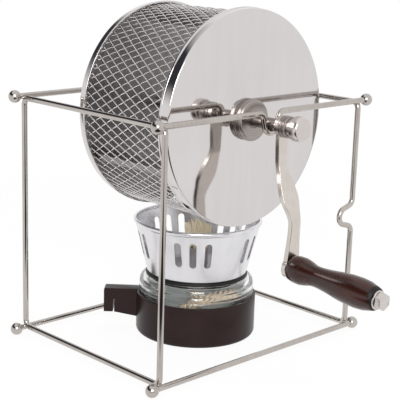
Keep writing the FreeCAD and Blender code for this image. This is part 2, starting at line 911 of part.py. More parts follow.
wick_core = holder_inner - size("soft_gap")
wick_rise = holder_top + size("wick_top")
tuft = size("wick_tuft")
turned_on_burner("wick", [
    (0.0, glass_foot + size("glass_wall") * 2.0),
    (wick_core, glass_foot + size("glass_wall") * 2.0),
    (wick_core, holder_top + size("soft_gap")),
    (tuft, holder_top + size("soft_gap") + tuft * 0.5, size("glass_wall")),
    (tuft, wick_rise, tuft * 0.6),
    (0.0, wick_rise),
])

screen_thick = size("screen_gauge")
screen_foot = size("screen_foot")
screen_mouth = size("screen_mouth")
screen_top = collar_top + size("screen_height")
rim = size("screen_rim")
screen = turned_on_burner("windscreen", [
    (screen_foot - size("collar_plug"), collar_top),
    (screen_foot, collar_top),
    (screen_mouth, screen_top),
    (screen_mouth + rim, screen_top, rim * 0.6),
    (screen_mouth + rim, screen_top + rim * 2.0, rim * 0.6),
    (screen_mouth - rim, screen_top + rim * 2.0, rim * 0.6),
    (screen_mouth - screen_thick, screen_top),
    (screen_foot - screen_thick, collar_top + screen_thick),
    (screen_foot - size("collar_plug"), collar_top + screen_thick),
])
slot_foot = collar_top + size("slot_rise")
slot_head = slot_foot + size("slot_height")
half_slot = size("slot_width") / 2.0
slot_round = half_slot * 0.98
slot_outline = outline(screen, "slot_outline", "XZ_Plane", [
    (-half_slot, slot_foot, slot_round),
    (half_slot, slot_foot, slot_round),
    (half_slot, slot_head, slot_round),
    (-half_slot, slot_head, slot_round),
])
slot = screen.newObject("PartDesign::Pocket", "windscreen_slot")
slot.Profile = slot_outline
slot.Type = "Length"
bind(slot, "Length", size("screen_mouth") * 1.5)
slot.Reversed = True
pattern = screen.newObject("PartDesign::MultiTransform", "windscreen_slots")
pattern.Originals = [slot]
group = screen.newObject("PartDesign::PolarPattern", "windscreen_slot_group")
group.Axis = (origin_plane(screen, "Z_Axis"), [""])
group.Occurrences = int(float(size("slots_in_group")))
group.Angle = float(size("slot_step")) * (float(size("slots_in_group")) - 1.0)
around = screen.newObject("PartDesign::PolarPattern", "windscreen_slot_ring")
around.Axis = (origin_plane(screen, "Z_Axis"), [""])
around.Occurrences = int(float(size("slot_groups")))
around.Angle = 360.0
pattern.Transformations = [group, around]
screen.Tip = pattern
place(
    screen,
    x=size("burner_right"),
    y=size("burner_rear"),
    axis=Z_AXIS,
    angle=size("screen_turn"),
)

doc.recompute()

# Every step of every piece is sound, and every piece is one solid

for item in doc.Objects:
    for trouble in ("Invalid", "Error"):
        if trouble in item.State:
            raise RuntimeError("%s is %s" % (item.Label, trouble))

helpers = set()
for item in doc.Objects:
    if item.TypeId == "Part::Cut":
        helpers.update((item.Base.Name, item.Tool.Name))

os.makedirs("parts", exist_ok=True)
kinds = ("PartDesign::Body", "Part::Feature", "Part::Cut", "Part::Cylinder")
pieces = [item for item in doc.Objects if item.TypeId in kinds and item.Name not in helpers]
for piece in pieces:
    if piece.Shape.isNull() or not piece.Shape.isValid():
        raise RuntimeError("%s has no sound shape" % piece.Label)
    if len(piece.Shape.Solids) != 1:
        raise RuntimeError("%s has %d solids" % (piece.Label, len(piece.Shape.Solids)))
    piece.Shape.exportStep("parts/%s.step" % piece.Label)
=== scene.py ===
"""A hand-cranked drum coffee roaster on a wire stand, over a small spirit burner."""

from __future__ import annotations

import json
import logging
import math
import random
from dataclasses import dataclass, field
from enum import Enum
from functools import partial

import bmesh
import bpy
from mathutils import Matrix, Vector


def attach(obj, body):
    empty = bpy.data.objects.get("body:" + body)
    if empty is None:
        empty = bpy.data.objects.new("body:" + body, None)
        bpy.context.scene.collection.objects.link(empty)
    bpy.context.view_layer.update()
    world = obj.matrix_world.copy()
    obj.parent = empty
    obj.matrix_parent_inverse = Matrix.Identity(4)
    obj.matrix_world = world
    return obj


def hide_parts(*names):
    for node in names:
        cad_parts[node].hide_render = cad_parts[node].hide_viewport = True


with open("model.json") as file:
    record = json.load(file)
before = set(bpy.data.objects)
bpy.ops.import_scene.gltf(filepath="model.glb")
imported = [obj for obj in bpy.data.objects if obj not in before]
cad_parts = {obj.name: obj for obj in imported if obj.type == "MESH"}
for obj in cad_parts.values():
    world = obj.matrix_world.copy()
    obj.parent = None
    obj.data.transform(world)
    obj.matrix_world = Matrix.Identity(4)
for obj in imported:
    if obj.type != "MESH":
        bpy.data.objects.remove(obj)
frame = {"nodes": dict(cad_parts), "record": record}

MM = 0.001
CRISP = 32.0
GOLDEN_TURN = 2.39996
LOG = logging.getLogger("roaster")
Colour = tuple[float, float, float]
Direction = tuple[float, float, float]


class Rides(Enum):
    """The moving bodies that a piece can belong to."""

    FRAME = "frame"
    DRUM = "drum"
    GRIP = "grip"


class Slot(Enum):
    """The record's finishes, by the name of their slot."""

    WIRE = "plated_wire"
    BALL = "polished_ball"
    SHEET = "polished_steel"
    MESH = "woven_steel"
    DRUM = "drum_steel"
    TURNED = "turned_steel"
    WOOD = "lacquered_wood"
    BROWN = "dark_plastic"
    BLACK = "black_plastic"
    GLASS = "clear_glass"
    ALUMINIUM = "bright_aluminium"
    COTTON = "cotton"


class Effect(Enum):
    """The surface effects that finishes share, each by its group's name."""

    POLISH = "buffed_surface"
    RINGS = "turning_rings"
    GRAIN = "wood_fibres"
    DUST = "handling_marks"


class Graph:
    """A short way to fill a node tree."""

    def __init__(self, tree: bpy.types.NodeTree) -> None:
        """Keeps the tree that the nodes go into.

        Args:
            tree: the shader tree or group that is filled.
        """
        self.tree = tree

    def add(self, kind: str, values: dict | None = None, **settings: object) -> bpy.types.Node:
        """Adds a node.

        Args:
            kind: the node's type name, without ShaderNode.
            values: socket name or number to a constant or to a socket that feeds it.
            settings: the node's own properties.

        Returns:
            The new node.
        """
        node = self.tree.nodes.new("ShaderNode" + kind)
        for name, value in settings.items():
            setattr(node, name, value)
        for key, value in (values or {}).items():
            if isinstance(value, bpy.types.NodeSocket):
                self.tree.links.new(value, node.inputs[key])
            else:
                node.inputs[key].default_value = value
        return node

    def ramp(self, factor: bpy.types.NodeSocket, stops: list[tuple[float, Colour]]) -> bpy.types.NodeSocket:
        """Turns a value into a colour.

        Args:
            factor: the value, 0 to 1.
            stops: places and their colours.

        Returns:
            The colour's socket.
        """
        node = self.add("ValToRGB", {"Fac": factor})
        elements = node.color_ramp.elements
        while len(elements) < len(stops):
            elements.new(0.5)
        for element, (place, colour) in zip(elements, stops):
            element.position = place
            element.color = (*colour, 1.0)
        return node.outputs["Color"]

    def combine(self, operation: str, *values: bpy.types.NodeSocket | float) -> bpy.types.NodeSocket:
        """Works one value out of one or two others.

        Args:
            operation: the Math node's operation.
            values: one or two sockets or constants.

        Returns:
            The result's socket.
        """
        return self.add("Math", dict(enumerate(values)), operation=operation).outputs[0]

    def along(self, place: bpy.types.NodeSocket, direction: Direction) -> bpy.types.NodeSocket:
        """Measures how far a place or a direction goes along another direction.

        Args:
            place: the vector's socket.
            direction: the direction that is measured along.

        Returns:
            The value's socket.
        """
        return self.add("VectorMath", {0: place, 1: direction}, operation="DOT_PRODUCT").outputs["Value"]

    def step(self, value: bpy.types.NodeSocket, start: float, end: float) -> bpy.types.NodeSocket:
        """Goes softly from 0 at start to 1 at end.

        Args:
            value: the value that is read.
            start: where it is 0.
            end: where it is 1.

        Returns:
            The value's socket.
        """
        reach = {"Value": value, "From Min": start, "From Max": end}
        return self.add("MapRange", reach, interpolation_type="SMOOTHSTEP").outputs["Result"]

    def spread(self, value: bpy.types.NodeSocket, low: float, high: float) -> bpy.types.NodeSocket:
        """Maps 0 to 1 onto low to high.

        Args:
            value: the incoming value.
            low: what 0 becomes.
            high: what 1 becomes.

        Returns:
            The mapped value's socket.
        """
        return self.add("MapRange", {"Value": value, "To Min": low, "To Max": high}).outputs["Result"]


class Effects:
    """The effects that several finishes share, each one a node group made once."""

    def __init__(self) -> None:
        """Builds the groups."""
        self.groups = {
            Effect.POLISH: self._polish(),
            Effect.RINGS: self._rings(),
            Effect.GRAIN: self._grain(),
            Effect.DUST: self._dust(),
        }

    @staticmethod
    def _open(effect: Effect, inputs: dict[str, float]) -> tuple[Graph, bpy.types.Node, bpy.types.Node]:
        """Starts a group with its sockets. Each group gives out a mask and a height.

        Args:
            effect: the effect that the group makes.
            inputs: input name to its first value.

        Returns:
            The graph, its input node and its output node.
        """
        tree = bpy.data.node_groups.new(effect.value, "ShaderNodeTree")
        for label, value in inputs.items():
            socket = tree.interface.new_socket(label, in_out="INPUT", socket_type="NodeSocketFloat")
            socket.default_value = value
        for label in ("Mask", "Height"):
            tree.interface.new_socket(label, in_out="OUTPUT", socket_type="NodeSocketFloat")
        entry = tree.nodes.new("NodeGroupInput")
        leave = tree.nodes.new("NodeGroupOutput")
        return Graph(tree), entry, leave

    def _polish(self) -> bpy.types.NodeTree:
        """Cloudy buffing marks with fine hairlines in them.

        Returns:
            The group.
        """
        g, entry, leave = self._open(Effect.POLISH, {"Scale": 40.0, "Stretch": 8.0})
        place = g.add("TexCoord").outputs["Object"]
        size = entry.outputs["Scale"]
        cloud = g.add("TexNoise", {"Vector": place, "Scale": size, "Detail": 3.0, "Roughness": 0.55})
        fine = g.combine("MULTIPLY", size, entry.outputs["Stretch"])
        flat = g.add("Mapping", {"Vector": place, "Scale": (1.0, 1.0, 0.12)})
        hair = g.add("TexNoise", {"Vector": flat.outputs["Vector"], "Scale": fine, "Detail": 2.0})
        shares = {"Factor": 0.4, "A": cloud.outputs["Fac"], "B": hair.outputs["Fac"]}
        both = g.add("Mix", shares, data_type="FLOAT")
        g.tree.links.new(both.outputs["Result"], leave.inputs["Mask"])
        g.tree.links.new(hair.outputs["Fac"], leave.inputs["Height"])
        return g.tree

    def _rings(self) -> bpy.types.NodeTree:
        """Fine turning rings about the drum's axis.

        Returns:
            The group.
        """
        g, entry, leave = self._open(Effect.RINGS, {"Pitch": 900.0, "Height of axis": 0.1648})
        place = g.add("TexCoord").outputs["Object"]
        split = g.add("SeparateXYZ", {"Vector": place})
        down = g.combine("SUBTRACT", split.outputs["Z"], entry.outputs["Height of axis"])
        flat = g.add("CombineXYZ", {"X": split.outputs["X"], "Z": down})
        radius = g.add("VectorMath", {0: flat.outputs["Vector"]}, operation="LENGTH")
        line = g.combine("MULTIPLY", radius.outputs["Value"], entry.outputs["Pitch"])
        rough = g.add("TexNoise", {"W": line, "Scale": 1.0, "Detail": 4.0}, noise_dimensions="1D")
        g.tree.links.new(rough.outputs["Fac"], leave.inputs["Mask"])
        g.tree.links.new(rough.outputs["Fac"], leave.inputs["Height"])
        return g.tree

    def _grain(self) -> bpy.types.NodeTree:
        """Wood fibres that run along Y.

        Returns:
            The group.
        """
        g, entry, leave = self._open(Effect.GRAIN, {"Scale": 90.0})
        place = g.add("TexCoord").outputs["Object"]
        long = g.add("Mapping", {"Vector": place, "Scale": (1.0, 0.09, 1.0)})
        size = entry.outputs["Scale"]
        close = g.combine("MULTIPLY", size, 9.0)
        fibre = long.outputs["Vector"]
        broad = g.add("TexNoise", {"Vector": fibre, "Scale": size, "Detail": 5.0, "Distortion": 0.6})
        pores = g.add("TexNoise", {"Vector": fibre, "Scale": close, "Detail": 2.0})
        g.tree.links.new(broad.outputs["Fac"], leave.inputs["Mask"])
        g.tree.links.new(pores.outputs["Fac"], leave.inputs["Height"])
        return g.tree

    def _dust(self) -> bpy.types.NodeTree:
        """Faint handling marks: soft spots and specks.

        Returns:
            The group.
        """
        g, entry, leave = self._open(Effect.DUST, {"Scale": 30.0})
        place = g.add("TexCoord").outputs["Object"]
        size = entry.outputs["Scale"]
        spots = g.add("TexNoise", {"Vector": place, "Scale": size, "Detail": 6.0, "Roughness": 0.62})
        specks = g.add("TexVoronoi", {"Vector": place, "Scale": size})
        g.tree.links.new(spots.outputs["Fac"], leave.inputs["Mask"])
        g.tree.links.new(specks.outputs["Distance"], leave.inputs["Height"])
        return g.tree


@dataclass(frozen=True)
class Finish:
    """A surface finish: two tones and two roughnesses that an effect mixes, over a small relief."""

    slot: Slot
    tone: Colour
    other_tone: Colour
    smooth: float
    rough: float
    metallic: float = 0.0
    effect: Effect = Effect.POLISH
    scale: float = 40.0
    relief: float = 0.0
    coat: float = 0.0
    sheen: float = 0.0
    specular: float = 0.5

    def material(self, effects: Effects, name: str | None = None) -> bpy.types.Material:
        """Makes the material.

        Args:
            effects: the shared node groups.
            name: the material's name, where it isn't the slot's.

        Returns:
            The material.
        """
        made = bpy.data.materials.new(name or self.slot.value)
        made.use_nodes = True
        made.node_tree.nodes.clear()
        g = Graph(made.node_tree)
        key = "Pitch" if self.effect is Effect.RINGS else "Scale"
        marks = g.add("Group", {key: self.scale}, node_tree=effects.groups[self.effect])
        shade = g.ramp(marks.outputs["Mask"], [(0.35, self.tone), (0.68, self.other_tone)])
        gloss = g.spread(marks.outputs["Mask"], self.smooth, self.rough)
        height = marks.outputs["Height"]
        bump = g.add("Bump", {"Height": height, "Strength": 1.0, "Distance": self.relief * MM})
        surface = g.add(
            "BsdfPrincipled",
            {
                "Base Color": shade,
                "Roughness": gloss,
                "Metallic": self.metallic,
                "Coat Weight": self.coat,
                "Coat Roughness": 0.19,
                "Sheen Weight": self.sheen,
                "Specular IOR Level": self.specular,
                "Normal": bump.outputs["Normal"],
            },
        )
        out = g.add("OutputMaterial")
        made.node_tree.links.new(surface.outputs["BSDF"], out.inputs["Surface"])
        return made


@dataclass(frozen=True)
class Glass:
    """Pressed clear glass with a grey-green cast."""

    tint: Colour = (0.97, 0.977, 0.972)

    def material(self, effects: Effects) -> bpy.types.Material:
        """Makes the material.

        Args:
            effects: the shared node groups.

        Returns:
            The material.
        """
        made = bpy.data.materials.new(Slot.GLASS.value)
        made.use_nodes = True
        made.node_tree.nodes.clear()
        g = Graph(made.node_tree)
        marks = g.add("Group", {"Scale": 60.0}, node_tree=effects.groups[Effect.DUST])
        bump = g.add("Bump", {"Height": marks.outputs["Mask"], "Strength": 1.0, "Distance": 0.25 * MM})
        surface = g.add(
            "BsdfPrincipled",
            {
                "Base Color": (*self.tint, 1.0),
                "Roughness": g.spread(marks.outputs["Mask"], 0.01, 0.06),
                "Metallic": 0.0,
                "Transmission Weight": 1.0,
                "IOR": 1.47,
                "Normal": bump.outputs["Normal"],
            },
        )
        path = g.add("LightPath")
        clear = g.add("BsdfTransparent", {"Color": (0.93, 0.96, 0.95, 1.0)})
        lit = g.combine("MAXIMUM", path.outputs["Is Shadow Ray"], path.outputs["Is Diffuse Ray"])
        both = g.add("MixShader", {0: lit, 1: surface.outputs[0], 2: clear.outputs[0]})
        out = g.add("OutputMaterial")
        made.node_tree.links.new(both.outputs[0], out.inputs["Surface"])
        return made


class Palette:
    """Every finish of the roaster, made once."""

    def __init__(self) -> None:
        """Builds the materials."""
        self.effects = Effects()
        metal = partial(Finish, metallic=1.0)
        turned = partial(metal, Slot.TURNED, effect=Effect.RINGS, scale=2600.0, relief=0.02)
        nickel = ((0.44, 0.40, 0.372), (0.54, 0.503, 0.473))
        steel = ((0.63, 0.605, 0.60), (0.68, 0.65, 0.648))
        zinc = ((0.60, 0.55, 0.505), (0.68, 0.63, 0.59))
        bare_wire = ((0.80, 0.78, 0.77), (0.90, 0.88, 0.87))
        # painted shade: darker steel tones for the faces inside the drum
        drum_inside_shade_tones = ((0.26, 0.25, 0.245), (0.37, 0.355, 0.35))
        bright_turned = ((0.56, 0.515, 0.49), (0.70, 0.655, 0.63))
        # painted shade: darker tones of the turned steel, for the hubs, the shaft and the arm nut
        turned_shade_tones = ((0.27, 0.24, 0.225), (0.44, 0.40, 0.375))
        aluminium = ((0.71, 0.70, 0.72), (0.79, 0.78, 0.80))
        tin = ((0.78, 0.79, 0.78), (0.90, 0.90, 0.89))
        rosewood = ((0.002, 0.0008, 0.0006), (0.040, 0.0066, 0.0028))
        brown = ((0.0125, 0.0062, 0.0056), (0.0185, 0.0092, 0.0085))
        black = ((0.006, 0.006, 0.006), (0.012, 0.012, 0.012))
        cream = ((0.72, 0.57, 0.33), (1.0, 0.97, 0.86))
        soaked = ((0.30, 0.22, 0.16), (0.52, 0.42, 0.33))
        finishes = [
            metal(Slot.WIRE, *nickel, smooth=0.05, rough=0.13, scale=60.0, relief=0.01),
            metal(Slot.BALL, *nickel, smooth=0.05, rough=0.12, scale=90.0),
            metal(Slot.SHEET, *steel, smooth=0.035, rough=0.075, scale=14.0, relief=0.004),
            metal(Slot.MESH, *bare_wire, smooth=0.16, rough=0.27, scale=200.0),
            # rougher steel for the faces inside the drum, darkened with painted shade
            metal(Slot.DRUM, *drum_inside_shade_tones, smooth=0.3, rough=0.45, scale=30.0),
            turned(*bright_turned, smooth=0.16, rough=0.3),
            Finish(
                Slot.WOOD, *rosewood, smooth=0.36, rough=0.5, effect=Effect.GRAIN,
                scale=55.0, relief=0.02, coat=0.9, specular=0.05,
            ),
            Finish(
                Slot.BROWN, *brown, smooth=0.24, rough=0.36, effect=Effect.DUST,
                scale=50.0, relief=0.02, specular=0.18,
            ),
            Finish(
                Slot.BLACK, *black, smooth=0.35, rough=0.5, effect=Effect.DUST,
                scale=60.0, specular=0.2,
            ),
            metal(Slot.ALUMINIUM, *aluminium, smooth=0.18, rough=0.32, scale=26.0, relief=0.02),
            Finish(Slot.COTTON, *cream, smooth=0.8, rough=0.95, scale=190.0, sheen=0.6),
        ]
        self.materials = {finish.slot: finish.material(self.effects) for finish in finishes}
        self.materials[Slot.GLASS] = Glass().material(self.effects)
        # A darker copy of the turned steel: painted shade that stands in for the darker reflections of the
        # hubs, the shaft and the arm nut.
        turned_shade_copy = turned(*turned_shade_tones, smooth=0.2, rough=0.36)
        satin = metal(Slot.WIRE, *zinc, smooth=0.15, rough=0.27, scale=60.0, relief=0.01)
        lining = metal(Slot.ALUMINIUM, *tin, smooth=0.42, rough=0.6, scale=26.0)
        wet = Finish(Slot.COTTON, *soaked, smooth=0.6, rough=0.8, effect=Effect.DUST, scale=420.0)
        self.hub_metal_shaded = turned_shade_copy.material(self.effects, "turned_steel_painted_shade")
        self.satin = satin.material(self.effects, "satin_plated_steel")
        self.lining = lining.material(self.effects, "tin_lining")
        self.soaked = wet.material(self.effects, "soaked_cotton")

    def dress(self, piece: bpy.types.Object, slot: Slot) -> None:
        """Gives a piece its finish.

        Args:
            piece: the piece.
            slot: the finish's slot.
        """
        piece.data.materials.clear()
        piece.data.materials.append(self.materials[slot])


class Shape:
    """One piece's mesh in the making. Sizes are in millimetres until it becomes a piece."""

    def __init__(self) -> None:
        """Starts empty."""
        self.bm = bmesh.new()

    def lathe(self, profile: list[tuple], centre: Vector, axis: Vector, steps: int) -> None:
        """Spins a closed profile a full turn.

        Args:
            profile: along the axis, radius and, where a corner is rounded, its size.
            centre: where the axis' zero is.
            axis: the direction that the first numbers run along.
            steps: how many steps the turn has.
        """
        out = axis.orthogonal().normalized()
        corners = [(centre + axis * c[0] + out * c[1], c[2] if len(c) > 2 else 0.0) for c in profile]
        verts = [self.bm.verts.new(place) for place, _ in corners]
        for pair in zip(verts, verts[1:] + verts[:1]):
            self.bm.edges.new(pair)
        for vert, (_, size) in zip(verts, corners):
            if size:
                bmesh.ops.bevel(
                    self.bm, geom=[vert], offset=size, offset_type="OFFSET", affect="VERTICES",
                    segments=4, profile=0.5, material=-1,
                )
        loose = [e for e in self.bm.edges if not e.link_faces]
        nodes = {v for e in loose for v in e.verts}
        bmesh.ops.spin(
            self.bm, geom=[*nodes, *loose], cent=centre, axis=axis, angle=math.tau,
            steps=steps, use_merge=True, use_duplicate=False,
        )
        self.tidy()

    def tidy(self) -> None:
        """Closes seams and poles and turns the faces outwards."""
        bmesh.ops.remove_doubles(self.bm, verts=self.bm.verts, dist=0.002)
        bmesh.ops.recalc_face_normals(self.bm, faces=self.bm.faces)

    def ball(self, centre: Vector, radius: float) -> None:
        """Adds a round ball.

        Args:
            centre: its middle.
            radius: its radius.
        """
        made = bmesh.ops.create_uvsphere(self.bm, u_segments=40, v_segments=24, radius=radius)
        bmesh.ops.translate(self.bm, verts=made["verts"], vec=centre)

    def strand(
        self, segments: int, radius: float, cuts: int, length: float = 1.0
    ) -> list[bmesh.types.BMVert]:
        """Draws a straight open tube up the Z axis in even steps, for its caller to bend.

        Args:
            segments: how many corners its section has.
            radius: its radius.
            cuts: how many steps it has.
            length: its length.

        Returns:
            Its vertices.
        """
        made = bmesh.ops.create_circle(self.bm, segments=segments, radius=radius)["verts"]
        edges = list({e for v in made for e in v.link_edges})
        verts = list(made)
        for _ in range(cuts):
            geom = bmesh.ops.extrude_edge_only(self.bm, edges=edges)["geom"]
            fresh = [v for v in geom if isinstance(v, bmesh.types.BMVert)]
            edges = [e for e in geom if isinstance(e, bmesh.types.BMEdge)]
            bmesh.ops.translate(self.bm, verts=fresh, vec=(0, 0, length / cuts))
            verts.extend(fresh)
        return verts

    def piece(
        self, name: str, rides: Rides, slot: Slot, palette: Palette,
        replaces: tuple[str, ...] = (), sharp: float = CRISP,
    ) -> bpy.types.Object:
        """Turns the shape into a finished piece of the scene.

        Args:
            name: the piece's name.
            rides: the body that it moves with.
            slot: its finish.
            palette: the materials.
            replaces: the nodes that it stands for.
            sharp: edges that turn by more degrees than this stay crisp.

        Returns:
            The object.
        """
        bmesh.ops.scale(self.bm, vec=(MM, MM, MM), verts=self.bm.verts)
        mesh = bpy.data.meshes.new(name)
        self.bm.to_mesh(mesh)
        self.bm.free()
        mesh.shade_smooth()
        mesh.set_sharp_from_angle(angle=math.radians(sharp))
        made = bpy.data.objects.new(name, mesh)
        bpy.context.scene.collection.objects.link(made)
        palette.dress(made, slot)
        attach(made, rides.value)
        if replaces:
            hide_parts(*replaces)
        LOG.info("%s: %d faces, rides on %s", name, len(mesh.polygons), rides.value)
        return made


class Bender(Shape):
    """A round wire that is drawn straight and bent in one plane, step by step."""

    def __init__(self, start: Vector, heading: Vector, normal: Vector, radius: float) -> None:
        """Draws the wire's first section.

        Args:
            start: where the wire starts.
            heading: the way it sets out.
            normal: the bending plane's normal. Turns are positive about it.
            radius: the wire's radius.
        """
        super().__init__()
        self.place = start.copy()
        self.heading = heading.normalized()
        self.normal = normal.normalized()
        turn = self.heading.to_track_quat("Z", "Y").to_matrix().to_4x4()
        stance = Matrix.Translation(start) @ turn
        made = bmesh.ops.create_circle(self.bm, segments=20, radius=radius, matrix=stance)
        self.section = list({e for v in made["verts"] for e in v.link_edges})

    def run(self, length: float) -> Bender:
        """Draws the wire on straight.

        Args:
            length: how far.

        Returns:
            The wire, for the next step.
        """
        if length > 1e-4:
            made = bmesh.ops.extrude_edge_only(self.bm, edges=self.section)["geom"]
            verts = [v for v in made if isinstance(v, bmesh.types.BMVert)]
            self.section = [e for e in made if isinstance(e, bmesh.types.BMEdge)]
            bmesh.ops.translate(self.bm, verts=verts, vec=self.heading * length)
            self.place += self.heading * length
        return self

    def bend(self, radius: float, degrees: float) -> Bender:
        """Bends the wire on along an arc.

        Args:
            radius: the arc's radius at the wire's middle.
            degrees: how far it turns, positive about the plane's normal.

        Returns:
            The wire, for the next step.
        """
        turn = math.radians(degrees)
        side = self.normal.cross(self.heading) * math.copysign(radius, turn)
        centre = self.place + side
        verts = list({v for e in self.section for v in e.verts})
        made = bmesh.ops.spin(
            self.bm, geom=[*verts, *self.section], cent=centre, axis=self.normal, angle=turn,
            steps=max(4, int(abs(degrees) / 7.0)), use_merge=False, use_duplicate=False,
        )["geom_last"]
        self.section = [e for e in made if isinstance(e, bmesh.types.BMEdge)]
        spun = Matrix.Rotation(turn, 3, self.normal)
        self.place = centre + spun @ (self.place - centre)
        self.heading = spun @ self.heading
        return self


@dataclass
class Stand:
    """The wire stand: two side loops, four bars with balls on their ends, two saddles."""

    palette: Palette
    wire: float = 2.0
    ball: float = 4.4
    span: float = 200.0
    depth: float = 146.0
    rise: float = 168.0
    loop_side: float = 92.8
    loop_inset: float = 1.22
    loop_corner: float = 5.0
    seat: float = 6.05
    drop: float = 7.6
    shoulder: float = 5.0
    flare: float = 15.0
    beads: Shape = field(default_factory=Shape)

    def dip(self, wire: Bender, way: float) -> None:
        """Bends a saddle into the wire.

        Args:
            wire: the wire, which has come to the middle of the saddle less its half width.
            way: 1 or -1, the side to which it dips, about the wire's plane.
        """
        lean, turn = math.radians(self.flare), 90.0 - self.flare
        leg = (self.drop + self.seat / math.sin(lean)) / math.cos(lean)
        leg -= self.seat / math.tan(lean) + self.shoulder_reach()
        wire.bend(self.shoulder, turn * way).run(leg)
        wire.bend(self.seat, -2.0 * turn * way).run(leg)
        wire.bend(self.shoulder, turn * way)

    def shoulder_reach(self) -> float:
        """Works out how far a shoulder's arc reaches from its corner.

        Returns:
            The distance.
        """
        return self.shoulder * math.tan(math.radians(90.0 - self.flare) / 2.0)

    def dip_half(self) -> float:
        """Works out how far from its middle the saddle's arcs begin.

        Returns:
            The distance.
        """
        lean = math.radians(self.flare)
        return self.seat / math.cos(lean) + self.drop * math.tan(lean) + self.shoulder_reach()

    def loop(self, side: float, notched: bool) -> Bender:
        """Bends a side loop.

        Args:
            side: 1 for the right one, -1 for the left one.
            notched: whether both posts have the saddle's form at half height.

        Returns:
            The wire.
        """
        low = self.ball + self.loop_inset
        half = self.depth / 2.0 - self.loop_inset
        corner = self.loop_corner
        flat = 2.0 * (half - corner)
        tall = self.rise - 2.0 * (self.loop_inset + corner)
        start = Vector((side * self.loop_side, -half + corner, low))
        wire = Bender(start, Vector((0, 1, 0)), Vector((1, 0, 0)), self.wire)
        for _ in range(2):
            wire.run(flat).bend(corner, 90.0)
            if notched:
                part = tall / 2.0 - self.dip_half()
                wire.run(part)
                wire.normal, keep = wire.heading.cross(Vector((-side, 0, 0))), wire.normal
                self.dip(wire, 1.0)
                wire.normal = keep
                wire.run(part)
            else:
                wire.run(tall)
            wire.bend(corner, 90.0)
        wire.tidy()
        return wire

    def bar(self, y: float, z: float, dipped: bool) -> Bender:
        """Bends a bar.

        Args:
            y: where it lies.
            z: how high it lies.
            dipped: whether it has a saddle in its middle.

        Returns:
            The wire.
        """
        end = self.span / 2.0 - 1.0
        wire = Bender(Vector((-end, y, z)), Vector((1, 0, 0)), Vector((0, 1, 0)), self.wire)
        if dipped:
            wire.run(end - self.dip_half())
            self.dip(wire, 1.0)
            wire.run(end - self.dip_half())
        else:
            wire.run(end * 2.0)
        wire.tidy()
        return wire

    def weld(self, x: float, y: float, z: float) -> None:
        """Adds the small bead where a bar lies against a loop's corner.

        Args:
            x: the loop's place.
            y: the bar's place.
            z: the bar's height.
        """
        made = bmesh.ops.create_icosphere(self.beads.bm, subdivisions=3, radius=1.0)["verts"]
        bmesh.ops.scale(self.beads.bm, vec=(2.6, 1.5, 1.5), verts=made)
        toward_loop = 1.15 if z < self.rise / 2.0 else -1.15
        inward = Vector((0, -math.copysign(1.15, y), toward_loop))
        bmesh.ops.translate(self.beads.bm, verts=made, vec=Vector((x, y, z)) + inward)

    def build(self) -> None:
        """Builds and dresses the stand."""
        palette = self.palette
        top = self.ball + self.rise
        for name, side in (("left_side_loop", -1.0), ("right_side_loop", 1.0)):
            self.loop(side, side > 0).piece(name + "_wire", Rides.FRAME, Slot.WIRE, palette, (name,))
        for row, y in (("front", -self.depth / 2.0), ("back", self.depth / 2.0)):
            for level, z in (("top", top), ("bottom", self.ball)):
                node = f"{row}_{level}_bar"
                bar = self.bar(y, z, level == "top")
                bar.piece(node + "_wire", Rides.FRAME, Slot.WIRE, palette, (node,))
                for hand, side in (("left", -1.0), ("right", 1.0)):
                    self.weld(side * self.loop_side, y, z)
                    shape = Shape()
                    shape.ball(Vector((side * self.span / 2.0, y, z)), self.ball)
                    ball = f"{row}_{level}_{hand}_ball"
                    shape.piece(ball + "_polished", Rides.FRAME, Slot.BALL, palette, (ball,))
        self.beads.piece("weld_beads", Rides.FRAME, Slot.WIRE, palette)


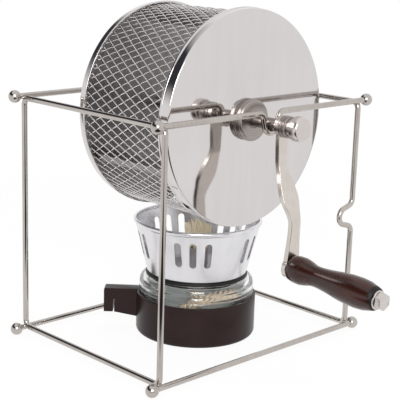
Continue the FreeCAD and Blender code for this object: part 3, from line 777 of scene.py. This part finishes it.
@dataclass
class Drum:
    """The drum: woven sleeve, lid and cap with skirts, shaft and hubs."""

    palette: Palette
    axis_height: float = 164.8
    lid_face: float = -52.8
    cap_face: float = 37.8
    sheet: float = 1.0
    lid_radius: float = 73.5
    lid_skirt: float = 8.5
    cap_radius: float = 72.2
    cap_skirt: float = 6.5
    sleeve_middle: float = 70.35
    inside_radius: float = 70.5
    thread: float = 0.37
    threads: int = 67
    winding: float = 30.0

    def turn(self, profile: list[tuple], steps: int = 160) -> Shape:
        """Spins a profile about the shaft.

        Args:
            profile: y, radius and, where a corner is rounded, its size.
            steps: how many steps the turn has.

        Returns:
            The shape.
        """
        shape = Shape()
        shape.lathe(profile, Vector((0, 0, self.axis_height)), Vector((0, 1, 0)), steps)
        return shape

    def lid(self) -> Shape:
        """The front lid: a flat polished disc, rolled over into a skirt that ends in a bead.

        Returns:
            The shape.
        """
        face, out = self.lid_face, self.lid_radius
        rim = face + self.lid_skirt
        return self.turn(
            [
                (face, 4.05),
                (face, out - 2.0, 0.5),
                (face, out, 1.2),
                (rim - 1.9, out, 0.4),
                (rim - 1.4, out + 0.6, 0.4),
                (rim, out + 0.6, 0.5),
                (rim, out - self.sheet, 0.3),
                (face + self.sheet, out - self.sheet, 0.4),
                (face + self.sheet, 4.05),
            ],
            steps=512,
        )

    def cap(self) -> Shape:
        """The back cap, with a shorter skirt.

        Returns:
            The shape.
        """
        face, out = self.cap_face, self.cap_radius
        rim = face - self.cap_skirt
        return self.turn(
            [
                (face, 4.05),
                (face, out, 1.4),
                (rim + 1.7, out, 0.3),
                (rim + 1.3, out + 0.6, 0.3),
                (rim, out + 0.6, 0.5),
                (rim, out - self.sheet, 0.3),
                (face - self.sheet, out - self.sheet, 0.4),
                (face - self.sheet, 4.05),
            ],
            steps=512,
        )

    def hub(self, seat: float, way: float) -> Shape:
        """A clamp hub: a stepped round nut.

        Args:
            seat: the face that it sits on.
            way: -1 toward the front, 1 toward the back.

        Returns:
            The shape.
        """
        return self.turn(
            [
                (seat, 4.05),
                (seat, 13.2, 0.3),
                (seat + way * 1.0, 13.4, 0.2),
                (seat + way * 1.3, 14.0, 0.3),
                (seat + way * 4.6, 14.0, 0.5),
                (seat + way * 5.8, 12.6, 0.5),
                (seat + way * 5.8, 5.2, 0.3),
                (seat + way * 5.3, 4.6),
                (seat + way * 5.3, 4.05),
            ],
            steps=96,
        )

    def thread_shape(self, shape: Shape, hand: float) -> None:
        """Adds one layer of threads: one helix, bent over the ones it crosses, turned round the drum.

        Args:
            shape: the sleeve's shape.
            hand: 1 or -1, the way the helix winds.
        """
        front = self.lid_face + self.sheet + 0.2
        back = self.cap_face - self.sheet - 0.2
        lean = math.radians(self.winding)
        step = math.pi * self.sleeve_middle / self.threads / math.tan(lean)
        lift, bulge = (0.33, 0.04) if hand > 0.0 else (-0.22, 0.26)
        cuts = int(round((back - front) / step * 4.0))
        verts = shape.strand(6, self.thread, cuts, back - front)
        for vert in verts:
            across, out, along = vert.co
            y = front + along
            wave = math.cos(math.tau * (y - front) / step)
            radius = self.sleeve_middle + out + lift - bulge * wave
            angle = (hand * along * math.tan(lean) + across / math.cos(lean)) / self.sleeve_middle
            vert.co = (radius * math.sin(angle), y, self.axis_height + radius * math.cos(angle))
        faces = list({f for v in verts for f in v.link_faces})
        bmesh.ops.spin(
            shape.bm, geom=[*verts, *{e for v in verts for e in v.link_edges}, *faces],
            cent=(0, 0, self.axis_height), axis=(0, 1, 0), angle=math.tau, steps=self.threads,
            use_merge=False, use_duplicate=True,
        )

    def build(self) -> None:
        """Builds and dresses the drum."""
        palette = self.palette
        ride = Rides.DRUM
        # The faces inside the lid and the cap get a darker steel: painted shade inside the drum.
        for node, shape in (("front_lid", self.lid()), ("back_cap", self.cap())):
            self.paint_shade_inside(shape.piece(node + "_polished", ride, Slot.SHEET, palette, (node,)))
        # The shaft and the hubs get the darker copy of the turned steel: painted shade.
        frame["nodes"]["drum_shaft"].material_slots[0].material = palette.hub_metal_shaded
        for node, seat, way in (("lid_clamp_nut", self.lid_face, -1.0), ("rear_hub", self.cap_face, 1.0)):
            hub = self.hub(seat, way).piece(node + "_turned", ride, Slot.TURNED, palette, (node,))
            hub.material_slots[0].material = palette.hub_metal_shaded
        sleeve = Shape()
        self.thread_shape(sleeve, 1.0)
        self.thread_shape(sleeve, -1.0)
        bmesh.ops.recalc_face_normals(sleeve.bm, faces=sleeve.bm.faces)
        sleeve.piece("woven_sleeve", ride, Slot.MESH, palette, ("mesh_sleeve",), sharp=80.0)

    def paint_shade_inside(self, made: bpy.types.Object) -> None:
        """Gives the faces that look into the drum a rougher and darker steel; the darker tone is painted
        shade inside the drum.

        Args:
            made: the lid or the cap.
        """
        made.data.materials.append(self.palette.materials[Slot.DRUM])
        lid, cap = self.lid_face + 0.6, self.cap_face - 0.6
        for face in made.data.polygons:
            x, y, z = face.center / MM
            flat = abs(face.normal.y) > 0.9 and math.hypot(x, z - self.axis_height) < self.inside_radius
            if flat and lid < y < cap:
                face.material_index = 1


@dataclass
class Crank:
    """The crank: bent arm, nut, cap knob, wooden grip, bolt and washer."""

    palette: Palette
    axis_height: float = 164.8
    arm_face: float = -84.9
    grip_lean: float = 3.25
    grip_y: float = -97.789
    grip_z: float = 72.4
    # where the painted shade at the grip's end begins: the last stretch is black for the dark gap at the
    # washer
    shade_end_place: float = 68.3

    def arm_nut(self, drum: Drum) -> Shape:
        """The round nut that clamps the arm, with a groove round it.

        Args:
            drum: gives the turning axis.

        Returns:
            The shape.
        """
        seat = self.arm_face
        return drum.turn(
            [
                (seat, 3.05),
                (seat, 7.3, 0.4),
                (seat - 2.6, 7.3, 0.3),
                (seat - 2.9, 6.4, 0.2),
                (seat - 3.5, 6.4, 0.2),
                (seat - 3.8, 7.3, 0.3),
                (seat - 6.2, 7.1, 0.5),
                (seat - 6.2, 3.05),
            ],
            steps=80,
        )

    def knob(self, drum: Drum) -> Shape:
        """The cap knob on the shaft's end, with a crowned face.

        Args:
            drum: gives the turning axis.

        Returns:
            The shape.
        """
        seat = self.arm_face - 6.2
        return drum.turn(
            [
                (seat, 3.05),
                (seat, 6.2, 0.3),
                (seat - 3.4, 5.9, 0.3),
                (seat - 3.8, 8.3, 0.7),
                (seat - 9.6, 8.3, 1.0),
                (seat - 10.8, 6.9, 0.8),
                (seat - 10.8, 0.0),
                (seat - 6.0, 0.0),
                (seat - 6.0, 3.05),
            ],
            steps=80,
        )

    def grip(self) -> Shape:
        """The turned wooden handle.

        Returns:
            The shape.
        """
        lean = math.radians(self.grip_lean)
        along = Vector((0, -math.cos(lean), -math.sin(lean)))
        shape = Shape()
        shape.lathe(
            [
                (0.3, 4.06), (0.3, 7.4), (1.2, 8.5), (4.5, 9.15), (9.5, 9.25), (14.0, 8.3),
                (18.5, 7.0), (23.5, 6.9), (30.0, 7.5), (36.0, 8.3), (42.0, 9.2), (49.0, 9.85),
                (56.0, 10.0), (62.0, 9.5), (67.2, 8.1), (69.4, 7.4), (69.9, 6.6), (69.9, 4.06),
            ],
            Vector((0, self.grip_y, self.grip_z)), along, steps=72,
        )
        return shape

    def build(self, drum: Drum) -> None:
        """Builds and dresses the crank.

        Args:
            drum: gives the turning axis.
        """
        palette = self.palette
        nut = self.arm_nut(drum).piece("arm_nut_turned", Rides.DRUM, Slot.TURNED, palette, ("arm_nut",))
        # The arm nut gets the darker copy of the turned steel: painted shade.
        nut.material_slots[0].material = palette.hub_metal_shaded
        self.knob(drum).piece("cap_knob_turned", Rides.DRUM, Slot.TURNED, palette, ("cap_knob",))
        grip = self.grip().piece(
            "wooden_grip_turned", Rides.GRIP, Slot.WOOD, palette, ("wooden_grip",), sharp=50.0,
        )
        # The grip's last stretch, at the washer, is black: painted shade for the dark gap between wood and
        # washer.
        grip.data.materials.append(palette.materials[Slot.BLACK])
        for face in grip.data.polygons:
            if face.center.y / MM < self.grip_y - self.shade_end_place:
                face.material_index = 1
        arm = softened("crank_arm", Rides.DRUM, Slot.WIRE, palette, 0.55)
        arm.material_slots[0].material = palette.satin
        softened("grip_bolt", Rides.DRUM, Slot.TURNED, palette, 0.35)
        softened("grip_washer", Rides.DRUM, Slot.TURNED, palette, 0.25)


@dataclass
class Burner:
    """The spirit burner: cup with a tab, glass bowl, collar, wick and windscreen."""

    palette: Palette
    x: float = 8.6
    y: float = 1.3
    collar_top: float = 45.85
    screen_foot: float = 36.2
    screen_mouth: float = 45.5
    screen_height: float = 37.2
    tuft_base: float = 62.9
    tuft_tall: float = 23.0
    yarns: int = 90
    plug_top: float = 43.4
    cup_inside: float = 41.2
    cup_floor: float = 2.4
    cup_edge: float = 28.8
    slot_low: float = 12.0
    slot_high: float = 30.8
    slot_width: float = 4.9
    slot_groups: int = 5
    slot_spacing: float = 14.6
    first_group: float = -48.2

    def turn(self, profile: list[tuple], steps: int = 160) -> Shape:
        """Spins a profile about the burner's upright axis.

        Args:
            profile: height, radius and, where a corner is rounded, its size.
            steps: how many steps the turn has.

        Returns:
            The shape.
        """
        shape = Shape()
        shape.lathe(profile, Vector((self.x, self.y, 0)), Vector((0, 0, 1)), steps)
        return shape

    def glass(self) -> Shape:
        """The pressed glass bowl.

        Returns:
            The shape.
        """
        rings = [(37.6 - 1.9 * step, 37.4 if step % 2 == 0 else 36.6, 0.7) for step in range(6)]
        return self.turn(
            [
                (2.75, 0.0), (2.75, 40.4, 2.5), (29.2, 40.4), (29.25, 41.8, 0.5), (31.4, 41.8, 0.6),
                (32.4, 41.2, 0.4), (33.2, 41.8, 0.6), (43.45, 41.2, 5.5), (43.45, 31.0, 0.4),
                (40.5, 31.0, 0.4), (40.5, 36.6, 1.6), *rings, (5.7, 37.4, 2.5), (5.7, 0.0),
            ],
            steps=180,
        )

    def collar(self) -> Shape:
        """The black collar between glass and windscreen.

        Returns:
            The shape.
        """
        low, top = 43.45, self.collar_top
        return self.turn(
            [
                (low, 8.1), (low, 27.9), (low - 4.0, 27.9, 0.3), (low - 4.0, 30.9, 0.3), (low, 30.9),
                (low, 37.0, 0.3), (low + 1.0, 37.2, 0.3), (top, 36.6, 0.4), (top, 8.1),
            ],
            steps=120,
        )

    def screen(self) -> Shape:
        """The windscreen: a spun cone with an inturned foot and a rolled rim.

        Returns:
            The shape.
        """
        low = self.collar_top
        top = low + self.screen_height
        foot, mouth, hole = self.screen_foot, self.screen_mouth, 11.2
        return self.turn(
            [
                (low + 0.05, hole), (low + 0.05, foot - 0.2, 0.6), (low + 0.8, foot + 0.2, 0.4),
                (top - 1.6, mouth - 0.4, 0.6), (top - 0.5, mouth + 0.9, 0.6), (top + 0.9, mouth + 1.1, 0.7),
                (top + 2.1, mouth + 0.2, 0.7), (top + 1.9, mouth - 1.0, 0.6), (top - 0.4, mouth - 1.0, 0.6),
                (low + 1.0, foot - 1.0, 0.6), (low + 0.8, foot - 3.6, 0.3), (low + 0.4, foot - 4.4, 0.2),
                (low + 0.4, hole),
            ],
            steps=240,
        )

    def brighten_plug(self, made: bpy.types.Object) -> None:
        """Gives the collar's part inside the glass its bright metal lining.

        Args:
            made: the collar.
        """
        made.data.materials.append(self.palette.lining)
        for face in made.data.polygons:
            if face.center.z / MM < self.plug_top or face.normal.z < -0.5:
                face.material_index = 1

    def line_cup(self, made: bpy.types.Object) -> None:
        """Gives the cup's inside its bright tin lining.

        Args:
            made: the cup.
        """
        made.data.materials.append(self.palette.lining)
        for face in made.data.polygons:
            x, y, z = face.center / MM
            if math.hypot(x - self.x, y - self.y) < self.cup_inside and self.cup_floor < z < self.cup_edge:
                face.material_index = 1

    def cut_slots(self, made: bpy.types.Object) -> None:
        """Cuts the groups of upright slots through the windscreen.

        Args:
            made: the windscreen.
        """
        cutters = Shape()
        low, high = self.collar_top + self.slot_low, self.collar_top + self.slot_high
        reach, middle = 30.0, -40.0
        for group in range(self.slot_groups):
            for step in (-1, 0, 1):
                before = set(cutters.bm.verts)
                box = bmesh.ops.create_cube(cutters.bm, size=1.0)["verts"]
                bmesh.ops.scale(cutters.bm, vec=(self.slot_width, reach, high - low), verts=box)
                bmesh.ops.translate(cutters.bm, verts=box, vec=(0, middle, (low + high) / 2.0))
                ends = [e for e in cutters.bm.edges if set(e.verts) <= set(box)]
                deep = [e for e in ends if abs(e.verts[0].co.y - e.verts[1].co.y) > reach / 3.0]
                bmesh.ops.bevel(
                    cutters.bm, geom=deep, offset=self.slot_width / 2.0 - 0.01, offset_type="OFFSET",
                    affect="EDGES", segments=10, profile=0.5, material=-1,
                )
                fresh = [v for v in cutters.bm.verts if v not in before]
                degrees = self.first_group + 360.0 / self.slot_groups * group + self.slot_spacing * step
                turn = Matrix.Rotation(math.radians(degrees), 3, "Z")
                bmesh.ops.rotate(cutters.bm, verts=fresh, cent=(0, 0, 0), matrix=turn)
                bmesh.ops.translate(cutters.bm, verts=fresh, vec=(self.x, self.y, 0))
        bmesh.ops.scale(cutters.bm, vec=(MM, MM, MM), verts=cutters.bm.verts)
        mesh = bpy.data.meshes.new("slot_cutters")
        cutters.bm.to_mesh(mesh)
        cutters.bm.free()
        tool = bpy.data.objects.new("slot_cutters", mesh)
        bpy.context.scene.collection.objects.link(tool)
        cut = made.modifiers.new("slots", "BOOLEAN")
        cut.operation = "DIFFERENCE"
        cut.solver = "EXACT"
        cut.object = tool
        settle(made)
        bpy.data.objects.remove(tool)
        ease = made.modifiers.new("pressed_edges", "BEVEL")
        ease.width = 0.18 * MM
        ease.segments = 2
        ease.limit_method = "ANGLE"
        ease.angle_limit = math.radians(60.0)

    def tuft(self) -> Shape:
        """The frayed head of the wick: yarns that spread from the tube's mouth and curl over.

        Returns:
            The shape.
        """
        chance = random.Random(7)
        shape = Shape()
        root, mouth = self.tuft_base - 2.0, 5.9
        for number in range(self.yarns):
            lean = ((number + 0.5) / self.yarns) ** 0.5
            angle = number * GOLDEN_TURN + chance.uniform(-0.2, 0.2)
            spread = Vector((math.cos(angle), math.sin(angle), 0))
            aside = spread.cross(Vector((0, 0, 1))) * chance.uniform(-1.6, 1.6)
            foot = Vector((self.x, self.y, root)) + spread * (mouth * lean)
            tall = self.tuft_tall * (1.0 - 0.22 * lean**3) * chance.uniform(0.84, 1.0)
            out = 5.6 * lean * chance.uniform(0.65, 1.0)
            droop = 3.5 * lean**3 * chance.uniform(0.0, 1.0)
            wave = chance.uniform(0.0, math.tau)
            for vert in shape.strand(6, 0.62, 7):
                t = vert.co.z
                thin = 1.0 - 0.35 * t**2
                rise = min(tall * (t ** 0.9) - droop * t**4, self.tuft_tall)
                path = foot + Vector((0, 0, rise)) + spread * (out * t**0.7)
                path += aside * (t * (1.0 - 0.3 * t)) + spread * (0.35 * math.sin(t * 9.0 + wave))
                vert.co = path + Vector((vert.co.x * thin, vert.co.y * thin, 0))
        bmesh.ops.recalc_face_normals(shape.bm, faces=shape.bm.faces)
        return shape

    def wick_core(self) -> Shape:
        """The wick inside its tube and down into the bowl: three strands twisted together.

        Returns:
            The shape.
        """
        shape = Shape()
        foot, twist, lay = 9.0, 22.0, 3.2
        for strand in range(3):
            for vert in shape.strand(12, 3.3, 44, 55.0):
                angle = vert.co.z / twist * math.tau + strand * math.tau / 3.0
                vert.co += Vector((self.x + lay * math.cos(angle), self.y + lay * math.sin(angle), foot))
        shape.tidy()
        return shape

    def tail(self) -> Shape:
        """The wick's spare end, three strands twisted together, lying in a bend inside the glass.

        Returns:
            The shape.
        """
        shape = Shape()
        start, sweep, bend, lay = -158.0, 115.0, 31.0, 1.9
        top, sag, twists = 33.5, 12.0, 4.5
        for strand in range(3):
            for vert in shape.strand(10, 1.9, 70):
                t = vert.co.z
                angle = math.radians(start + sweep * t)
                out = Vector((math.cos(angle), math.sin(angle), 0))
                spin = t * twists * math.tau + strand * math.tau / 3.0
                ring = bend + lay * math.cos(spin)
                high = top - sag * (2.0 * t - 1.0) ** 2 + lay * math.sin(spin)
                middle = Vector((self.x, self.y, high + vert.co.y))
                vert.co = middle + out * (ring + vert.co.x)
        shape.tidy()
        return shape

    def build(self) -> None:
        """Builds and dresses the burner."""
        palette = self.palette
        ride = Rides.FRAME
        self.glass().piece("fuel_glass_pressed", ride, Slot.GLASS, palette, ("fuel_glass",))
        collar = self.collar().piece("burner_collar_moulded", ride, Slot.BLACK, palette, ("burner_collar",))
        self.brighten_plug(collar)
        screen = self.screen().piece("windscreen_spun", ride, Slot.ALUMINIUM, palette, ("windscreen",))
        self.cut_slots(screen)
        self.tuft().piece("wick_tuft", ride, Slot.COTTON, palette, ("wick",), sharp=80.0)
        for name, shape in (("wick_core", self.wick_core()), ("wick_tail", self.tail())):
            made = shape.piece(name, ride, Slot.COTTON, palette, sharp=80.0)
            made.material_slots[0].material = palette.soaked
        base = softened("burner_base", ride, Slot.BROWN, palette, 0.7)
        self.line_cup(base)


def settle(piece: bpy.types.Object) -> None:
    """Applies a piece's modifiers to its mesh.

    Args:
        piece: the piece.
    """
    evaluated = piece.evaluated_get(bpy.context.evaluated_depsgraph_get())
    fresh = bpy.data.meshes.new_from_object(evaluated)
    old = piece.data
    piece.modifiers.clear()
    piece.data = fresh
    fresh.name = old.name
    bpy.data.meshes.remove(old)
    fresh.shade_smooth()
    fresh.set_sharp_from_angle(angle=math.radians(CRISP))


def softened(node: str, rides: Rides, slot: Slot, palette: Palette, width: float) -> bpy.types.Object:
    """A piece with the node's own shape and softened edges.

    Args:
        node: the node that it stands for.
        rides: the body that it moves with.
        slot: its finish.
        palette: the materials.
        width: how wide the edges' rounding is.

    Returns:
        The object.
    """
    shape = Shape()
    shape.bm.from_mesh(frame["nodes"][node].data)
    bmesh.ops.scale(shape.bm, vec=(1.0 / MM,) * 3, verts=shape.bm.verts)
    bmesh.ops.remove_doubles(shape.bm, verts=shape.bm.verts, dist=0.003)
    bmesh.ops.dissolve_limit(
        shape.bm, angle_limit=math.radians(1.0), verts=shape.bm.verts, edges=shape.bm.edges,
    )
    made = shape.piece(node + "_softened", rides, slot, palette, (node,), sharp=40.0)
    ease = made.modifiers.new("softened_edges", "BEVEL")
    ease.width = width * MM
    ease.segments = 3
    ease.limit_method = "ANGLE"
    ease.angle_limit = math.radians(48.0)
    return made


def dress_nodes(palette: Palette) -> None:
    """Gives every node that still shows its finish and smooth shading.

    Args:
        palette: the materials.
    """
    slots = {part["node"]: Slot(part["material_slot"]) for part in frame["record"]["subparts"]}
    for name, node in frame["nodes"].items():
        palette.dress(node, slots[name])
        node.data.polygons.foreach_set("use_smooth", [True] * len(node.data.polygons))
        weld = node.modifiers.new("joined", "WELD")
        weld.merge_threshold = 0.002 * MM
        split = node.modifiers.new("crisp", "EDGE_SPLIT")
        split.split_angle = math.radians(CRISP)


@dataclass
class Studio:
    """The pale floor, the white surroundings, the lamps and the camera."""

    lens: float = 102.0
    azimuth: float = -44.4717
    elevation: float = 13.6792
    roll: float = 1.7601
    place: Direction = (-0.54630, -0.56531, 0.29060)
    toward_camera: Direction = (-0.7006, -0.7136, 0.0)
    leftward: Direction = (-0.7136, 0.7006, 0.0)

    def camera(self) -> None:
        """Sets the camera at the photograph's viewing angle."""
        a, e, r = (math.radians(v) for v in (self.azimuth, self.elevation, self.roll))
        back = Vector((math.sin(a) * math.cos(e), -math.cos(a) * math.cos(e), math.sin(e)))
        right = Vector((math.cos(a), math.sin(a), 0.0))
        up = back.cross(right)
        turned_right = right * math.cos(r) + up * math.sin(r)
        turned_up = up * math.cos(r) - right * math.sin(r)
        data = bpy.data.cameras.new("photo_camera")
        data.lens = self.lens
        data.sensor_width = 36.0
        data.clip_start = 0.01
        made = bpy.data.objects.new("photo_camera", data)
        turn = Matrix((turned_right, turned_up, back)).transposed()
        made.matrix_world = Matrix.Translation(self.place) @ turn.to_4x4()
        bpy.context.scene.collection.objects.link(made)
        bpy.context.scene.camera = made

    @staticmethod
    def seen(g: Graph) -> bpy.types.NodeSocket:
        """Is 1 for rays that show the surroundings: to the camera, in metal and through glass.

        Args:
            g: the graph.

        Returns:
            The value's socket.
        """
        path = g.add("LightPath").outputs
        direct = g.combine("MAXIMUM", path["Is Camera Ray"], path["Is Glossy Ray"])
        return g.combine("MAXIMUM", direct, path["Is Transmission Ray"])

    def floor(self) -> None:
        """Lays the floor."""
        shape = Shape()
        bmesh.ops.create_grid(shape.bm, x_segments=2, y_segments=2, size=4.0)
        mesh = bpy.data.meshes.new("studio_floor")
        shape.bm.to_mesh(mesh)
        shape.bm.free()
        made = bpy.data.objects.new("studio_floor", mesh)
        bpy.context.scene.collection.objects.link(made)
        paper = bpy.data.materials.new("floor_paper")
        paper.use_nodes = True
        paper.node_tree.nodes.clear()
        g = Graph(paper.node_tree)
        matt = g.add("BsdfDiffuse", {"Color": (0.86, 0.86, 0.86, 1.0)})
        glow = g.add("Emission", {"Color": (1.0, 1.0, 1.0, 1.0), "Strength": 1.0})
        place = g.add("TexCoord").outputs["Object"]
        away = g.add("VectorMath", {0: place}, operation="LENGTH").outputs["Value"]
        plain = g.spread(g.step(away, 0.3, 0.8), 0.92, 1.0)
        share = g.combine("MULTIPLY", self.seen(g), plain)
        lit = g.add("MixShader", {0: share, 1: matt.outputs[0], 2: glow.outputs[0]})
        ahead = g.along(place, self.toward_camera)
        aside = g.combine("ABSOLUTE", g.along(place, self.leftward))
        edge = g.combine("MULTIPLY", g.step(ahead, 0.15, 0.24), g.step(aside, 0.24, 0.13))
        dark = g.combine("MULTIPLY", edge, g.add("LightPath").outputs["Is Glossy Ray"])
        near, far = (0.032, 0.030, 0.029), (0.50, 0.48, 0.46)
        shade = g.ramp(g.step(ahead, 0.5, 1.0), [(0.0, near), (1.0, far)])
        gloom = g.add("Emission", {"Color": shade, "Strength": 1.0})
        mixed = g.add("MixShader", {0: dark, 1: lit.outputs[0], 2: gloom.outputs[0]})
        out = g.add("OutputMaterial")
        paper.node_tree.links.new(mixed.outputs[0], out.inputs["Surface"])
        mesh.materials.append(paper)

    def surroundings(self) -> None:
        """Makes the white surroundings, with a darker room round the camera that only metal shows."""
        world = bpy.data.worlds.new("studio")
        bpy.context.scene.world = world
        world.use_nodes = True
        world.node_tree.nodes.clear()
        g = Graph(world.node_tree)
        direction = g.add("TexCoord").outputs["Generated"]
        ahead = g.along(direction, self.toward_camera)
        left = g.along(direction, self.leftward)
        height = g.add("SeparateXYZ", {"Vector": direction}).outputs["Z"]
        band = g.combine("MULTIPLY", g.step(height, 0.84, 0.72), g.step(height, 0.12, 0.46))
        sides = g.combine("MAXIMUM", g.step(left, 0.2, 0.5), g.step(ahead, 0.80, 0.93))
        room = g.combine("MULTIPLY", sides, band)
        dark = g.combine("MULTIPLY", room, g.add("LightPath").outputs["Is Glossy Ray"])
        white = g.add("Background", {"Color": (1.0, 1.0, 1.0, 1.0), "Strength": 1.0})
        round_about = g.spread(g.step(height, 0.32, 0.06), 0.6, 1.0)
        soft = g.add("Background", {"Color": (1.0, 0.985, 0.97, 1.0), "Strength": round_about})
        shown = g.add("MixShader", {0: self.seen(g), 1: soft.outputs[0], 2: white.outputs[0]})
        room_colour = g.add("Background", {"Color": (0.040, 0.042, 0.052, 1.0), "Strength": 1.0})
        final = g.add("MixShader", {0: dark, 1: shown.outputs[0], 2: room_colour.outputs[0]})
        out = g.add("OutputWorld")
        world.node_tree.links.new(final.outputs[0], out.inputs["Surface"])

    @staticmethod
    def lamp(name: str, place: tuple[float, float, float], size: float, power: float) -> bpy.types.Object:
        """Hangs a square soft lamp that looks at the roaster.

        Args:
            name: its name.
            place: where it hangs.
            size: its side in metres.
            power: its power in watts.

        Returns:
            The lamp.
        """
        data = bpy.data.lights.new(name, "AREA")
        data.size = size
        data.energy = power
        made = bpy.data.objects.new(name, data)
        aim = Vector((0.0, 0.0, 0.12)) - Vector(place)
        made.matrix_world = Matrix.Translation(place) @ aim.to_track_quat("-Z", "Y").to_matrix().to_4x4()
        bpy.context.scene.collection.objects.link(made)
        return made

    def build(self) -> None:
        """Sets up the studio."""
        bpy.context.scene.view_settings.view_transform = "Standard"
        self.camera()
        self.floor()
        self.surroundings()
        self.lamp("key_lamp", (-0.85, -1.05, 0.70), 0.6, 12.0).visible_glossy = False
        self.lamp("sheen_lamp", (-0.98, -1.15, 0.82), 0.85, 12.0).visible_diffuse = False
        self.lamp("top_lamp", (0.3, 0.2, 1.5), 1.0, 8.0).visible_glossy = False
        self.lamp("fill_lamp", (-0.66, -0.60, 0.33), 0.3, 3.6).visible_glossy = False


def main() -> None:
    """Builds the roaster and its studio."""
    logging.basicConfig(level=logging.INFO, format="%(message)s")
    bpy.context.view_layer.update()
    palette = Palette()
    dress_nodes(palette)
    Stand(palette).build()
    drum = Drum(palette)
    drum.build()
    Crank(palette).build(drum)
    Burner(palette).build()
    Studio().build()


if __name__ == "__main__":
    main()
